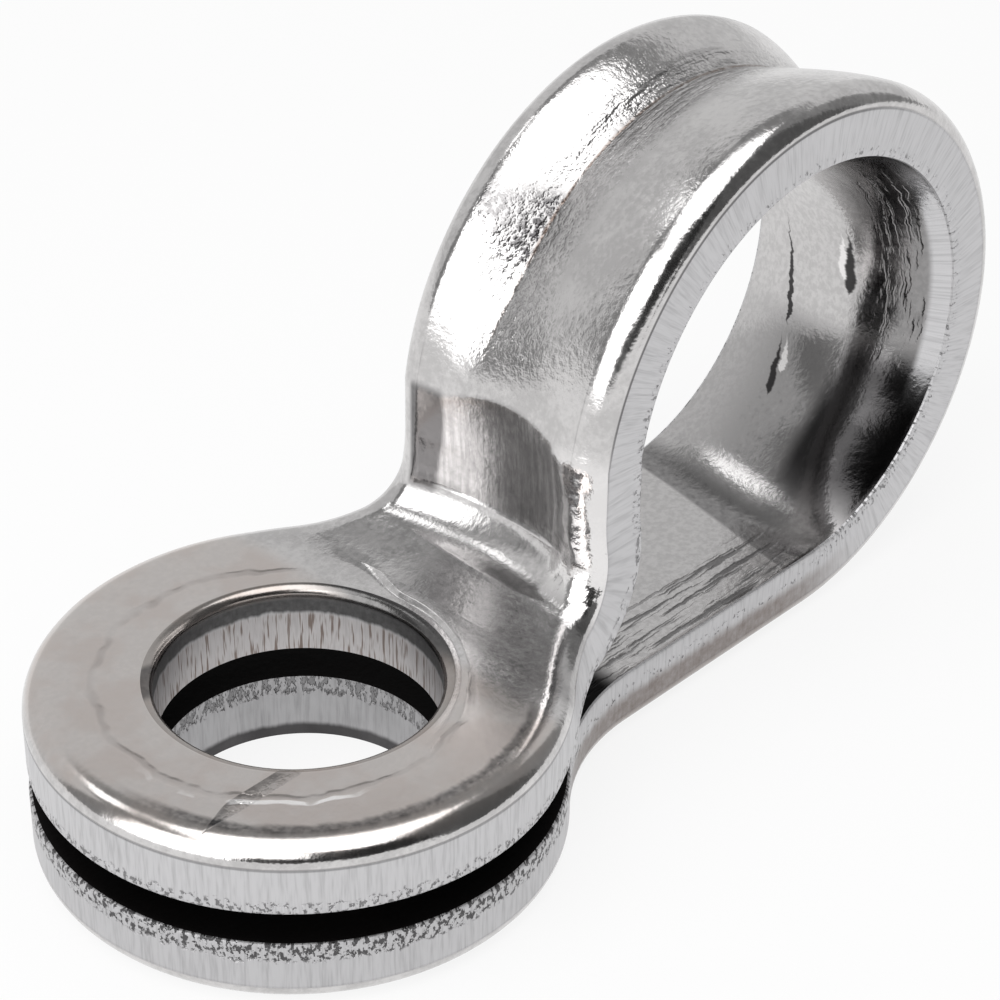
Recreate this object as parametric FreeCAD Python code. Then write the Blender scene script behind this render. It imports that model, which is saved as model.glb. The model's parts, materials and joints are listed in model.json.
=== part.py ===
import FreeCAD, Part
import math
import os
from FreeCAD import Vector

# Lacing eye: one strip of stainless sheet, blanked with a round lobe at each end, each lobe pierced,
# pressed to a shallow channel round the loop and folded so that one lobe lies over the other.
# Origin on the axis of the screw hole, in the plane of the underside; X runs to the loop, Z is up.
# All lengths in millimetres, all angles in degrees.

# The blank
sheet_t = 1.45
ring_d = 10.4
hole_d = 5.5
strip_w = 5.3
waist_r = 4.6

# Edges rounded where the sheet was drawn into the die: widths, and the turn up to the sheared face
edge_roll = 0.6
hole_roll = 0.35
roll_turn = 50.0

# The fold from the upper ring to the top of the leg
gap = 0.7
flat_x = 2.5
ease_r = 7.0
rise_angle = 8.0
bend_r = 0.65
leg_x = 5.25
leg_top = 6.7

# The loop, two arcs of its outer line
loop_low_r = 5.9
loop_top_r = 6.55
loop_join_turn = 105.0

# The channel pressed into the loop, fading out towards the foot and the leg
groove_depth = 0.65
crown_height = 0.75
crease_y = 0.8
channel_run_in = 4.0
channel_run_out = 3.5

# The hollow that the round punch leaves in the leg
leg_hollow = 0.4

# The flat pressed round the upper hole
seat_r = 3.45
seat_depth = 0.05

# How a flank of the channel dives: depths of its two inner poles, as shares of the whole
LOOP_FLANK = (0.12, 0.62)
LEG_FLANK = (2.0 / 3.0, 1.0)

# Greatest turn of a bent stretch and greatest length of a straight one between two sections
SPAN_TURN = 27.0
SPAN_LENGTH = 1.8

# Half a step for measuring how a section changes along the strip
NUDGE = 1e-6
SEW_TOLERANCE = 1e-5

ring_r = ring_d / 2.0
hole_r = hole_d / 2.0
half_w = strip_w / 2.0
ring_top = 2.0 * sheet_t + gap
waist_end = math.sqrt((ring_r + waist_r) ** 2 - (half_w + waist_r) ** 2)
waist_start = waist_end * ring_r / (ring_r + waist_r)
roll_rad = math.radians(roll_turn)


def smooth(share):
    """Eased step from 0 to 1."""
    share = min(max(share, 0.0), 1.0)
    return share * share * (3.0 - 2.0 * share)


def mixed(low, high, share):
    return low + (high - low) * share


def roll_point(width, turn):
    """Point of a rounded edge after a turn: its distance from the sheared face and its depth."""
    radius = width / math.sin(roll_rad)
    return width - radius * math.sin(turn), radius * (1.0 - math.cos(turn))


def roll_corner(width):
    """Distance from the sheared face at which the tangents at both ends of a rounded edge meet."""
    return width - width / math.sin(roll_rad) * math.tan(roll_rad / 2.0)


roll_deep = roll_point(edge_roll, roll_rad)[1]


def blank_half(run):
    """Half width of the blank at a distance from the centre of its lobe, and the width of its rounded edge."""
    run = abs(run)
    if run <= waist_start:
        half = math.sqrt(ring_r ** 2 - run ** 2)
        return half, edge_roll * ring_r / half
    if run < waist_end:
        rise = math.sqrt(waist_r ** 2 - (waist_end - run) ** 2)
        return half_w + waist_r - rise, edge_roll * waist_r / rise
    return half_w, edge_roll


class Path:
    """The strip's outer line: a start and a list of pieces, each a length and a turn, to the left positive."""

    def __init__(self, start, pieces):
        self.start = start
        self.pieces = pieces
        self.length = sum(length for length, turn in pieces)

    def walk(self, run):
        """Point and heading at a distance along the line; the end pieces run on beyond the ends."""
        x, z, heading = self.start
        for length, turn in self.pieces[:-1]:
            if run <= length:
                break
            x, z, heading = self.stride(x, z, heading, length, turn)
            run -= length
        else:
            length, turn = self.pieces[-1]
        return self.stride(x, z, heading, run, turn * run / length)

    def stride(self, x, z, heading, length, turn):
        """Point and heading after an arc of the given length and turn."""
        half_turn = math.radians(turn / 2.0)
        chord = length * math.sin(half_turn) / half_turn if turn else length
        middle = math.radians(heading) + half_turn
        return x + chord * math.cos(middle), z + chord * math.sin(middle), heading + turn

    def places(self):
        """For each piece the distances at which sections are set: its two ends and even steps between."""
        found = []
        begun = 0.0
        for length, turn in self.pieces:
            steps = math.ceil(abs(turn) / SPAN_TURN if turn else length / SPAN_LENGTH)
            found.append([begun + length * step / steps for step in range(steps + 1)])
            begun += length
        return found


class Station:
    """One section of the strip: a point and heading of the outer line, and the sizes there."""

    def __init__(self, x, z, heading, half, roll):
        self.x = x
        self.z = z
        self.heading = heading
        self.half = half
        self.roll = roll
        self.stretch = 1.0
        self.groove = 0.0
        self.crease = 0.0
        self.flank = LEG_FLANK
        self.crown = None

    def mitre(self, kink):
        """Swing the section by half of a kink in the line, so that both strips end in one plane."""
        self.heading += kink / 2.0
        self.stretch = 1.0 / math.cos(math.radians(kink / 2.0))

    def at(self, y, depth):
        """The point y across the strip and so deep below its outer line."""
        down = depth * self.stretch
        angle = math.radians(self.heading)
        return Vector(self.x + math.sin(angle) * down, y, self.z - math.cos(angle) * down)

    def flank_poles(self, side):
        """One flank of the channel, from the crest beside the rounded edge to the crease."""
        crest = side * (self.half - self.roll)
        third = (self.crease - crest) / 3.0
        first, second = self.flank
        return [
            self.at(crest, 0.0),
            self.at(crest + third, first * self.groove),
            self.at(crest + 2.0 * third, second * self.groove),
            self.at(self.crease, self.groove),
        ]

    def roll_poles(self, side):
        """The rounded edge, from the crest to the sheared face."""
        return [
            self.at(side * (self.half - self.roll), 0.0),
            self.at(side * (self.half - roll_corner(self.roll)), 0.0),
            self.at(side * self.half, roll_deep),
        ]

    def sheared_poles(self, side):
        return [self.at(side * self.half, roll_deep), self.at(side * self.half, sheet_t)]

    def inside_poles(self):
        """The inner face, bulging into the loop, or straight across where no crown is set."""
        if self.crown is None:
            return [self.at(self.half, sheet_t), self.at(-self.half, sheet_t)]
        bulge = sheet_t + self.crown * 4.0 / 3.0
        return [
            self.at(self.half, sheet_t),
            self.at(self.half / 3.0, bulge),
            self.at(-self.half / 3.0, bulge),
            self.at(-self.half, sheet_t),
        ]

    def outline(self):
        """The poles of all curves round the section."""
        curves = [self.inside_poles()]
        for side in (-1.0, 1.0):
            curves += [self.flank_poles(side), self.roll_poles(side), self.sheared_poles(side)]
        return curves


def weights_of(poles):
    """Only a rounded edge has three poles; its middle weight makes it an arc."""
    return [1.0, math.cos(roll_rad / 2.0), 1.0] if len(poles) == 3 else [1.0] * len(poles)


def end_cap(outline):
    """The flat section that closes one end of a strip."""
    edges = []
    for poles in outline:
        curve = Part.BezierCurve()
        curve.setPoles(poles)
        for number, weight in enumerate(weights_of(poles), 1):
            curve.setWeight(number, weight)
        edges.append(curve.toShape())
    return Part.Face(Part.Wire(Part.__sortEdges__(edges)))


def poles_along(points, ways, places):
    """Poles of a smooth line through the points, running the given way at each of them."""
    poles = [points[0]]
    for index in range(len(places) - 1):
        third = (places[index + 1] - places[index]) / 3.0
        poles.append(points[index] + ways[index] * third)
        poles.append(points[index + 1] - ways[index + 1] * third)
    poles.append(points[-1])
    return poles


def strip_face(curves, before, after, places):
    """One face along the strip, through the same curve of every section; a flat one is made as a plane."""
    rows = []
    for number in range(len(curves[0])):
        points = [curve[number] for curve in curves]
        ways = [(late[number] - early[number]) * (0.5 / NUDGE) for early, late in zip(before, after)]
        rows.append(poles_along(points, ways, places))
    across = len(rows)
    weights = [[weight] * len(rows[0]) for weight in weights_of(rows)]
    along_mults = [4] + [2] * (len(places) - 2) + [4]
    surface = Part.BSplineSurface()
    surface.buildFromPolesMultsKnots(rows, [across, across], along_mults, [0.0, 1.0], places,
                                     False, False, across - 1, 3, weights)
    face = surface.toShape()
    plane = face.findPlane()
    return Part.Face(plane, face.OuterWire) if plane else face


def strip(station_at, places, first_kink=0.0, last_kink=0.0):
    """A solid stretch of the strip through its sections, the end ones mitred where the line has a kink."""
    stations = [station_at(place) for place in places]
    stations[0].mitre(first_kink)
    stations[-1].mitre(last_kink)
    outlines = [station.outline() for station in stations]
    before = [station_at(place - NUDGE).outline() for place in places]
    after = [station_at(place + NUDGE).outline() for place in places]
    faces = [end_cap(outlines[0]), end_cap(outlines[-1])]
    for curves in zip(zip(*outlines), zip(*before), zip(*after)):
        faces.append(strip_face(*curves, places))
    shell = Part.makeCompound(faces)
    shell.sewShape(SEW_TOLERANCE)
    solid = Part.Solid(shell.Shells[0])
    if solid.Volume < 0.0:
        solid.reverse()
    return solid


def loop_lean():
    """How far from upright the strip leaves the leg for the loop to come down level with the foot."""
    top_z = loop_low_r + (loop_top_r - loop_low_r) * math.cos(math.radians(loop_join_turn))
    return math.degrees(math.asin((leg_top - top_z) / loop_top_r))


def loop_path():
    """From the top of the leg over the loop to the end of the flat foot."""
    top_turn = 270.0 - loop_lean() - loop_join_turn
    return Path((leg_x, leg_top, 90.0 - loop_lean()), [
        (math.radians(top_turn) * loop_top_r, -top_turn),
        (math.radians(loop_join_turn) * loop_low_r, -loop_join_turn),
    ])


def fold_path():
    """From the axis of the upper ring over the ease, the rise and the tight bend to the top of the leg."""
    slope = math.radians(rise_angle)
    ease_end_x = flat_x + ease_r * math.sin(slope)
    ease_end_z = ring_top + ease_r * (1.0 - math.cos(slope))
    bend_start_x = leg_x - bend_r + bend_r * math.sin(slope)
    rise_length = (bend_start_x - ease_end_x) / math.cos(slope)
    bend_end_z = ease_end_z + rise_length * math.sin(slope) + bend_r * math.cos(slope)
    return Path((0.0, ring_top, 0.0), [
        (flat_x, 0.0),
        (ease_r * slope, rise_angle),
        (rise_length, 0.0),
        (bend_r * (math.pi / 2.0 - slope), 90.0 - rise_angle),
        (leg_top - bend_end_z, 0.0),
    ])


def loop_strip():
    path = loop_path()

    def station_at(run):
        station = Station(*path.walk(run), half_w, edge_roll)
        out = smooth(run / channel_run_out)
        into = smooth((path.length - run) / channel_run_in)
        station.groove = mixed(leg_hollow, groove_depth, out) * into
        station.crease = crease_y * into * out
        station.flank = [mixed(leg, loop, out) for leg, loop in zip(LEG_FLANK, LOOP_FLANK)]
        station.crown = crown_height * into * out
        return station

    top, low = path.places()
    return strip(station_at, top + low[1:], first_kink=loop_lean())


def fold_strips():
    path = fold_path()

    def station_at(run):
        x, z, heading = path.walk(run)
        station = Station(x, z, heading, *blank_half(run))
        station.groove = leg_hollow * math.sin(math.radians(heading))
        return station

    stretches = path.places()
    strips = [strip(station_at, places) for places in stretches[:-1]]
    strips.append(strip(station_at, stretches[-1], last_kink=-loop_lean()))
    return strips


def foot_strip():
    """From the end of the loop along the flat foot to the axis of the lower ring."""
    loop = loop_path()
    start = loop.walk(loop.length)
    path = Path(start, [(start[0] - waist_end, 0.0), (waist_end - waist_start, 0.0), (waist_start, 0.0)])

    def station_at(run):
        return Station(*path.walk(run), *blank_half(path.length - run))

    straight, waist, lobe = path.places()
    return strip(station_at, straight + waist[1:] + lobe[1:])


def turned(points, middle, turn):
    """A solid turned about the hole axis: its outline, the rounded edge being the arc from the third point."""
    edges = []
    for index, point in enumerate(points):
        following = points[(index + 1) % len(points)]
        if index == 2:
            edges.append(Part.Arc(point, middle, following).toShape())
        else:
            edges.append(Part.makeLine(point, following))
    return Part.Face(Part.Wire(edges)).revolve(Vector(0, 0, 0), Vector(0, 0, 1), turn)


def ring_half(face_z, up):
    """The outer half of a ring, its rounded edge up or down."""
    middle_in, middle_down = roll_point(edge_roll, roll_rad / 2.0)
    points = [(0.0, sheet_t), (0.0, 0.0), (ring_r - edge_roll, 0.0), (ring_r, roll_deep), (ring_r, sheet_t)]
    placed = [Vector(0, out, face_z - up * down) for out, down in points]
    return turned(placed, Vector(0, ring_r - middle_in, face_z - up * middle_down), 180)


def hole_tool():
    """The pierced hole through both rings, opening out at the upper face where the punch drew the sheet in."""
    rim_z = ring_top - seat_depth
    end_out, end_down = roll_point(hole_roll, 0.0)
    middle_out, middle_down = roll_point(hole_roll, roll_rad / 2.0)
    wall_down = roll_point(hole_roll, roll_rad)[1]
    points = [(0.0, -sheet_t), (0.0, rim_z), (hole_r + end_out, rim_z - end_down),
              (hole_r, rim_z - wall_down), (hole_r, -sheet_t)]
    placed = [Vector(out, 0, z) for out, z in points]
    return turned(placed, Vector(hole_r + middle_out, 0, rim_z - middle_down), 360)


def lacing_eye():
    rings = [ring_half(ring_top, 1.0), ring_half(0.0, -1.0)]
    body = loop_strip().multiFuse(fold_strips() + [foot_strip()] + rings)
    seat = Part.makeCylinder(seat_r, leg_top, Vector(0, 0, ring_top - seat_depth))
    return body.cut(seat).cut(hole_tool()).removeSplitter()


os.makedirs("parts", exist_ok=True)
lacing_eye().exportStep("parts/lacing_eye.step")
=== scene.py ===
import json
import math

import bmesh
import bpy
import numpy as np
from mathutils import Matrix, Vector


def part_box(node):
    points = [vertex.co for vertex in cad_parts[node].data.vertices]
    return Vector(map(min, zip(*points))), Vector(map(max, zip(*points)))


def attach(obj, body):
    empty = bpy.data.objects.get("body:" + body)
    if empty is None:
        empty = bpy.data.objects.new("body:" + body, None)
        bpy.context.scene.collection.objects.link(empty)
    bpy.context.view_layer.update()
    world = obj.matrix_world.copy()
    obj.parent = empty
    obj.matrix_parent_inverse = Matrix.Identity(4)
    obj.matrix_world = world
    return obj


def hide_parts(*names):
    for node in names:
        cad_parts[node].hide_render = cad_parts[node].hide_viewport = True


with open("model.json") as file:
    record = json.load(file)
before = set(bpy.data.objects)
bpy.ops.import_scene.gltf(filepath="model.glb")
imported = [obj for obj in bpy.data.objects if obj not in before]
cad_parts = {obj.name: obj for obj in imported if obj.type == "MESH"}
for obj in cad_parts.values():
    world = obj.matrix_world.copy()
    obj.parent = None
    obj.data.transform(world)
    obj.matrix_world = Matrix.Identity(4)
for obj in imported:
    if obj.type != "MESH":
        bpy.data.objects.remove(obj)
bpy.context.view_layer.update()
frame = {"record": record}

bl_info = {
    "name": "Lacing eye",
    "version": (1, 0, 0),
    "blender": (4, 5, 0),
    "location": "View3D > Sidebar > Lacing eye",
    "description": "Dresses the packed lacing eye: its folded strip, its stainless finish and the studio",
    "category": "Object",
}

# Lengths are in millimetres in the shaping code and become metres when a mesh is made.
MM = 0.001
NODE = "lacing_eye"

hole = next(mount for mount in frame["record"]["mounts"] if mount["name"] == "screw_hole")


# Properties for the groups below; a length is given in millimetres and kept in metres.


def length_property(name, description, value):
    return bpy.props.FloatProperty(name=name, description=description, default=value * MM,
                                   subtype="DISTANCE", unit="LENGTH", precision=5)


def colour_property(name, description, value):
    return bpy.props.FloatVectorProperty(name=name, description=description, default=value, size=3,
                                         min=0.0, max=1.0, subtype="COLOR")


def share_property(name, description, value, high=1.0):
    return bpy.props.FloatProperty(name=name, description=description, default=value, min=0.0, max=high)


def angle_property(name, description, value):
    return bpy.props.FloatProperty(name=name, description=description, default=math.radians(value),
                                   subtype="ANGLE", unit="ROTATION")


class LacingEyeSizes(bpy.types.PropertyGroup):
    """Sizes of the folded strip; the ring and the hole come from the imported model."""

    sheet: length_property("Sheet", "Thickness of the sheet", 1.45)
    ring_r: length_property("Ring radius", "Radius of both rings", -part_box(NODE)[0][0] / MM)
    hole_r: length_property("Hole radius", "Radius of the pierced hole", hole["dims"]["r_mm"])
    strip_w: length_property("Strip width", "Width of the strip round the loop", 5.3)
    waist_r: length_property("Waist radius", "Radius between ring and strip", 4.6)
    gap: length_property("Gap", "Opening between the two rings", 0.7)
    edge_roll: length_property("Edge roll", "Width of the edge rounded into the die", 0.58)
    edge_deep: length_property("Edge roll depth", "Depth of that edge", 0.42)
    lip: length_property("Lip", "Small rounding between sheared edge and inner face", 0.06)
    hole_roll: length_property("Hole roll", "Width of the rounded upper edge of the hole", 0.22)
    flat_x: length_property("Flat", "Reach of the upper ring's flat towards the leg", 2.5)
    ease_r: length_property("Ease radius", "Radius from the flat into the rise", 7.0)
    rise_angle: angle_property("Rise", "Slope from the ring up to the bend", 16.0)
    bend_r: length_property("Bend radius", "Inner radius of the tight bend", 0.9)
    leg_x: length_property("Leg", "Distance of the leg's outer side from the hole axis", 5.25)
    leg_top: length_property("Leg top", "Height at which the loop begins", 6.7)
    loop_low_r: length_property("Lower loop radius", "Outer radius of the loop near the foot", 5.9)
    loop_top_r: length_property("Upper loop radius", "Outer radius of the loop above", 6.55)
    loop_join: angle_property("Loop join", "Turn at which the two loop radii meet", 105.0)
    groove: length_property("Groove", "Depth of the channel round the loop", 0.65)
    crown: length_property("Crown", "Bulge of the inner face", 0.75)
    crease_y: length_property("Crease", "Sideways place of the channel's crease", 0.75)
    run_in: length_property("Run in", "Length over which the channel fades towards the foot", 4.0)
    run_out: length_property("Run out", "Length over which the channel fades towards the leg", 3.5)
    punch_r: length_property("Punch radius", "Radius of the round punch that set the leg", 5.65)
    seat_r: length_property("Seat radius", "Radius of the flat pressed round the hole", 3.15)
    seat_deep: length_property("Seat depth", "Depth of that flat", 0.05)


class LacingEyeFinish(bpy.types.PropertyGroup):
    """Colours and finish of the stainless steel."""

    steel: colour_property("Steel", "Colour of the pressed faces", (0.615, 0.603, 0.60))
    land: colour_property("Sheared edge", "Colour of the sheared edge", (0.60, 0.595, 0.605))
    # the colour of pits and torn metal, and also of the painted shade and painted dark reflections on the
    # steel
    torn_and_shade: colour_property("Torn edge", "Colour of pits and torn metal", (0.084, 0.081, 0.083))
    # the colour of the hole's scratches, and also of the painted shade along the channel's crease and, in
    # part, of the painted dark reflection low on the foot's sheared edge
    scratch_and_shade: colour_property("Scratches", "Colour of the scratches in the hole", (0.30, 0.22, 0.18))
    # painted shade: the near-black colour painted deep in the gap between the rings
    gap_shade: colour_property("Gap_shade", "Colour of the grime deep in the gap", (0.008, 0.007, 0.007))
    rough: share_property("Roughness", "Roughness of the pressed faces", 0.2)
    land_rough: share_property("Edge roughness", "Roughness of the sheared edge", 0.42)


class LacingEyeStudio(bpy.types.PropertyGroup):
    """The camera that matches the photograph."""

    azimuth: angle_property("Azimuth", "Direction of the camera round the part", -47.1893)
    elevation: angle_property("Elevation", "Height of the camera as an angle", 33.6406)
    roll: bpy.props.FloatProperty(name="Roll", description="Tilt of the camera", default=0.0157,
                                  subtype="ANGLE", unit="ROTATION")
    distance: length_property("Distance", "From the camera to its target", 59.0945)
    target: bpy.props.FloatVectorProperty(name="Target", description="Point the camera looks at", size=3,
                                          default=(0.0059668, 0.0004137, 0.0044889),
                                          subtype="TRANSLATION", unit="LENGTH", precision=5)
    lens: bpy.props.FloatProperty(name="Lens", description="Focal length for a 36 mm wide frame",
                                  default=106.326, unit="CAMERA")


def in_mm(group):
    """The lengths of a property group in millimetres and its other values as they are."""
    values = {}
    for name, prop in group.bl_rna.properties.items():
        if name in ("rna_type", "name"):
            continue
        value = getattr(group, name)
        is_length = prop.type == "FLOAT" and prop.unit == "LENGTH" and not prop.is_array
        values[name] = value / MM if is_length else value
    return type("Sizes", (), values)


# ---------------------------------------------------------------- shape


# How finely the surfaces are cut: across the strip, down the rounded and the sheared edge, round a ring,
# from the hole to the ring's edge above and below, and down the hole's rim and wall.
ACROSS = 56
ROLL_STEPS = 8
LAND_STEPS = 10
ARC_STEPS = 150
FACE_STEPS = 34
INNER_STEPS = 16
RIM_STEPS = 6
WALL_STEPS = 14

# Spacing of the strip's sections: on the ring and foot, and in each other piece of the outer line.
SPACING = 0.2
CLOSE_SPACING = {1: 0.08, 2: 0.08, 3: 0.035, 4: 0.06, 5: 0.125, 6: 0.125}

# Distance from the hole's axis at which the strip's sections meet the rings' own surfaces.
JOIN_X = 3.4
# How far the loop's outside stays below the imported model's, so that it keeps inside its box.
SKIN = 0.004
# Half the length over which the sections fan through the kink between leg and loop.
KINK = 0.6
# Depth of the channel in the leg, before the loop deepens it.
LEG_GROOVE = 0.15
# Lean of the punch's wall up the leg, the height at which it begins, how far up the loop the punch
# reaches, and the length over which its hollow runs out below the bend.
PUNCH_LEAN = 0.10
PUNCH_LEAN_Z = 5.6
PUNCH_REACH = 3.0
HOLLOW_FADE = 0.9
# Points closer than this are one, in metres; edges sharper than this many degrees stay sharp.
SAME_POINT = 2e-7
SHARP_EDGE = 40.0

# What a point belongs to: pressed outer face, sheared edge, inner face or rounded edge.
PRESSED = (0.0, 0.0, 0.0)
SHEARED = (1.0, 0.0, 0.0)
INNER = (0.0, 1.0, 0.0)
ROLLED = (0.0, 0.0, 1.0)

# Marks: a place far from the crease, and the walls of the two holes.
NO_CREASE = 9.0
UPPER_HOLE = -1.0
LOWER_HOLE = -2.0


def smooth(share):
    """Eased step from 0 to 1."""
    share = np.clip(share, 0.0, 1.0)
    return share * share * (3.0 - 2.0 * share)


def mixed(low, high, share):
    """Low at share 0, high at share 1."""
    return low + (high - low) * share


class Strip:
    """The folded strip: where its outer line runs, how wide it is there and how it is pressed."""

    def __init__(self, s):
        self.s = s
        self.half_w = s.strip_w / 2.0
        self.ring_top = 2.0 * s.sheet + s.gap
        self.reach = s.ring_r + s.waist_r
        self.waist_end = math.sqrt(self.reach ** 2 - (self.half_w + s.waist_r) ** 2)
        self.pieces = self.layout()

    def layout(self):
        """Length and turn of each piece of the outer line, from the upper ring's axis to the lower's."""
        s = self.s
        join = s.loop_join
        top_z = s.loop_low_r + (s.loop_top_r - s.loop_low_r) * math.cos(join)
        self.lean = math.asin((s.leg_top - top_z) / s.loop_top_r)
        slope = s.rise_angle
        ease_x = s.flat_x + s.ease_r * math.sin(slope)
        ease_z = self.ring_top + s.ease_r * (1.0 - math.cos(slope))
        rise = (s.leg_x - s.bend_r + s.bend_r * math.sin(slope) - ease_x) / math.cos(slope)
        bend_z = ease_z + rise * math.sin(slope) + s.bend_r * math.cos(slope)
        top_turn = 1.5 * math.pi - self.lean - join
        fold = [(s.flat_x, 0.0), (s.ease_r * slope, slope), (rise, 0.0),
                (s.bend_r * (math.pi / 2.0 - slope), math.pi / 2.0 - slope), (s.leg_top - bend_z, 0.0)]
        self.bend_run = sum(length for length, turn in fold[:4])
        self.leg_run = sum(length for length, turn in fold)
        loop = [(top_turn * s.loop_top_r, -top_turn), (join * s.loop_low_r, -join)]
        self.loop_end = self.leg_run + loop[0][0] + loop[1][0]
        pieces = fold + loop
        foot_x = self.walk(self.loop_end, pieces)[0]
        self.length = self.loop_end + foot_x
        return pieces + [(foot_x, 0.0)]

    def walk(self, run, pieces=None):
        """Point and heading of the outer line at a distance along it."""
        x, z, heading = 0.0, self.ring_top, 0.0
        begun = 0.0
        for length, turn in pieces or self.pieces:
            part = min(run - begun, length)
            if abs(begun - self.leg_run) < 1e-9:
                heading -= self.lean
            swing = turn * part / length
            chord = part if abs(swing) < 1e-9 else 2.0 * part / swing * math.sin(swing / 2.0)
            x += chord * math.cos(heading + swing / 2.0)
            z += chord * math.sin(heading + swing / 2.0)
            heading += swing
            begun += length
            if run <= begun:
                break
        return x, z, heading

    def runs(self):
        """Where sections are set, close together in the tight bend."""
        found = [JOIN_X]
        ends = np.cumsum([length for length, turn in self.pieces])
        ends[-1] = self.length - JOIN_X
        for number, end in enumerate(ends):
            if end < JOIN_X:
                continue
            steps = math.ceil((end - found[-1]) / CLOSE_SPACING.get(number, SPACING))
            found += list(np.linspace(found[-1], end, steps + 1)[1:])
        return np.array(found)

    def half(self, run, inset):
        """Half width of the outline at a distance inside the sheared edge, all round offset evenly."""
        s = self.s
        lobe = np.minimum(run, self.length - run)
        tangent = self.waist_end * (s.ring_r - inset) / self.reach
        ring = np.sqrt(np.maximum((s.ring_r - inset) ** 2 - lobe ** 2, 0.0))
        bow = np.sqrt(np.maximum((s.waist_r + inset) ** 2 - (self.waist_end - lobe) ** 2, 0.0))
        waist = self.half_w + s.waist_r - bow
        return np.where(lobe <= tangent, ring, np.where(lobe < self.waist_end, waist, self.half_w - inset))


def edge_profile(s):
    """Rounded edge, sheared face and small lip in section, from the crest to the inner face."""
    roll = zip(*roll_profile(s.edge_roll, s.edge_deep, ROLL_STEPS))
    sheared = np.linspace(s.edge_deep, s.sheet - s.lip, LAND_STEPS + 1)
    profile = [(inset, depth, ROLLED) for inset, depth in roll]
    profile += [(0.0, depth, SHEARED) for depth in sheared]
    profile += [(0.3 * s.lip, s.sheet - 0.3 * s.lip, SHEARED), (s.lip, s.sheet, SHEARED)]
    return profile


def roll_profile(width, deep, steps):
    """Inset and depth down a rounded edge, from the crest to the sheared face."""
    turn = np.linspace(0.0, math.pi / 2.0, steps + 1)
    return width * (1.0 - np.sin(turn)), deep * (1.0 - np.cos(turn))


class Sheet:
    """Collects grids of points with what the finish needs to know at each point, and makes one mesh."""

    def __init__(self):
        self.points = []
        self.notes = []
        self.faces = []
        self.count = 0

    def grid(self, points, notes, closed=False):
        """Add rows of points; notes are (run, side, depth), (land, inside, roll) and
        (crease, punched, channel)."""
        rows, columns = points.shape[:2]
        index = np.arange(rows * columns).reshape(rows, columns) + self.count
        if closed:
            index = np.concatenate([index, index[:, :1]], axis=1)
        quads = np.stack([index[:-1, :-1], index[:-1, 1:], index[1:, 1:], index[1:, :-1]], axis=-1)
        self.points.append(points.reshape(-1, 3))
        self.notes.append(np.concatenate([note.reshape(rows * columns, -1) for note in notes], axis=1))
        self.faces.append(quads.reshape(-1, 4))
        self.count += rows * columns

    def mesh(self, name):
        mesh = bpy.data.meshes.new(name)
        points = np.concatenate(self.points) * MM
        mesh.from_pydata(points.tolist(), [], np.concatenate(self.faces).tolist())
        notes = np.concatenate(self.notes)
        corners = notes[np.concatenate(self.faces).ravel()].astype(np.float32)
        for number, label in enumerate(("place", "zone", "mark")):
            attribute = mesh.attributes.new(label, "FLOAT_VECTOR", "CORNER")
            attribute.data.foreach_set("vector", corners[:, 3 * number:3 * number + 3].ravel())
        work = bmesh.new()
        work.from_mesh(mesh)
        bmesh.ops.remove_doubles(work, verts=work.verts, dist=SAME_POINT)
        bmesh.ops.recalc_face_normals(work, faces=work.faces)
        work.to_mesh(mesh)
        work.free()
        mesh.shade_smooth()
        mesh.set_sharp_from_angle(angle=math.radians(SHARP_EDGE))
        return mesh


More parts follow.
